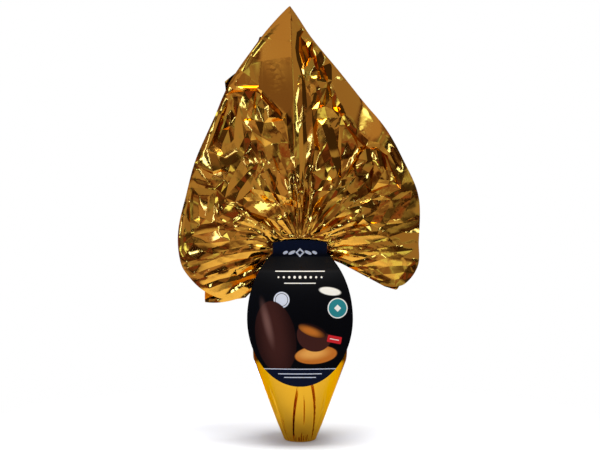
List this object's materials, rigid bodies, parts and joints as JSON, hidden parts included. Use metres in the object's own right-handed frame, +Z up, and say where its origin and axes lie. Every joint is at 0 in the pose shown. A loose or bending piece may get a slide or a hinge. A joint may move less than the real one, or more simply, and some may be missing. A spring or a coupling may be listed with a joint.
{
  "type": "wrapped chocolate egg",
  "caption": "Upright moulded chocolate egg in gold film, tied at a neck into a flat crumpled crown, with an egg-shaped card label in front.",
  "frame": {"origin": "centre of the flat underside of the foot, which stands on the table", "axes": "+Z up towards the crown's tip, -Y towards the viewer of the label, +X to that viewer's right"},
  "size_m": [0.3031, 0.1273, 0.5427],
  "materials": {
    "gold_film": "thin metallised plastic film, mirror bright and crumpled, gold",
    "printed_card": "coated card printed black, dark blue and chocolate brown, with a gold rule, soft gloss",
    "gold_cord": "twisted gold elastic cord"
  },
  "bodies": {
    "root": {"film_wrap": "gold_film", "card_label": "printed_card", "neck_tie": "gold_cord"}
  },
  "joints": []
}
